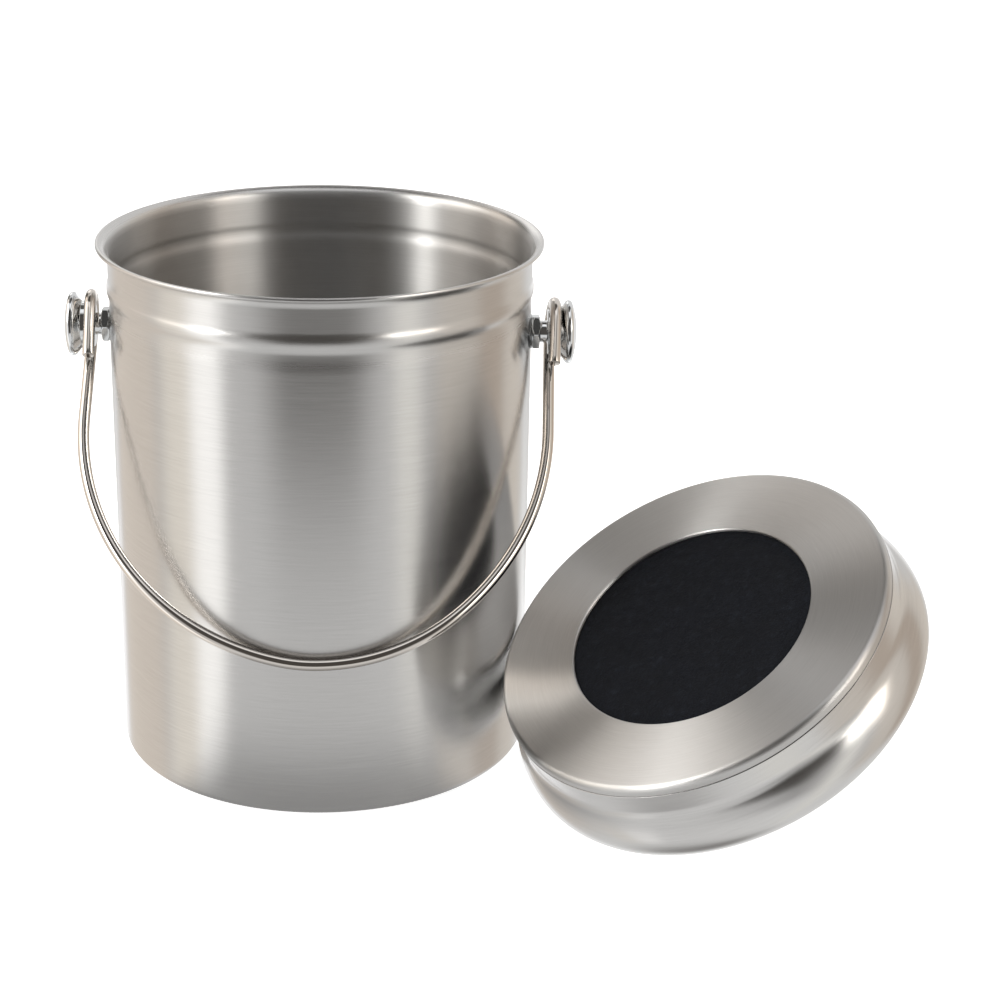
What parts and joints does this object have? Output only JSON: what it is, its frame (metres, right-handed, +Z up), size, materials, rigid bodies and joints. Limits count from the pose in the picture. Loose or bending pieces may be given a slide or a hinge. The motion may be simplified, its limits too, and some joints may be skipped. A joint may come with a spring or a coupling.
{
  "type": "countertop compost caddy",
  "caption": "Stainless steel compost caddy: straight-sided pail with flared rim, wire bail on spool knobs, and a lift-off plug lid with a charcoal filter in its underside.",
  "frame": {"origin": "centre of the pail's base, on the surface it stands on", "axes": "+Z up along the pail's axis, +X along the ear bolts' axis, -Y to the front, where the bail hangs"},
  "size_m": [0.3482, 0.2414, 0.218],
  "materials": {
    "pail_brushed_steel": "satin, brushed round the pail",
    "lid_brushed_steel": "satin, brushed round the lid",
    "ring_brushed_steel": "satin, turned in circles about the opening",
    "polished_steel_wire": "polished, a little warm",
    "chrome": "mirror plate",
    "chrome_nut": "bright zinc or chrome plate",
    "grey_rubber": "matt",
    "black_felt": "needled charcoal felt",
    "hidden_steel": "plain mill finish"
  },
  "bodies": {
    "pail": {"pail_shell": "pail_brushed_steel", "left_pivot_bolt": "chrome_nut", "left_inner_washer": "grey_rubber", "left_outer_washer": "chrome_nut", "left_hex_nut": "chrome_nut", "left_spool_knob": "chrome", "right_pivot_bolt": "chrome_nut", "right_inner_washer": "grey_rubber", "right_outer_washer": "chrome_nut", "right_hex_nut": "chrome_nut", "right_spool_knob": "chrome"},
    "bail": {"bail_wire": "polished_steel_wire"},
    "lid": {"lid_shell": "lid_brushed_steel", "filter_backplate": "hidden_steel", "charcoal_filter": "black_felt", "lid_knob": "chrome", "lid_knob_washer": "hidden_steel", "lid_knob_screw": "hidden_steel"},
    "filter_ring": {"filter_ring": "ring_brushed_steel"}
  },
  "joints": [
    {"name": "bail_swing", "type": "hinge", "parent": "pail", "child": "bail", "pos_m": [0, 0, 0.17965], "axis": [-1, 0, 0.0089], "range_deg": [0, 282]},
    {"name": "lid_lift", "type": "slide", "parent": "pail", "child": "lid", "axis": [0.5793, -0.2785, 0.766], "range_m": [0, 0.15]},
    {"name": "filter_ring_pull", "type": "slide", "parent": "lid", "child": "filter_ring", "axis": [-0.4523, -0.2962, 0.8412], "range_m": [0, 0.03]}
  ],
  "couplings": [
    {"joint": "filter_ring_pull", "follows": "lid_lift", "ratio": 0.2}
  ]
}
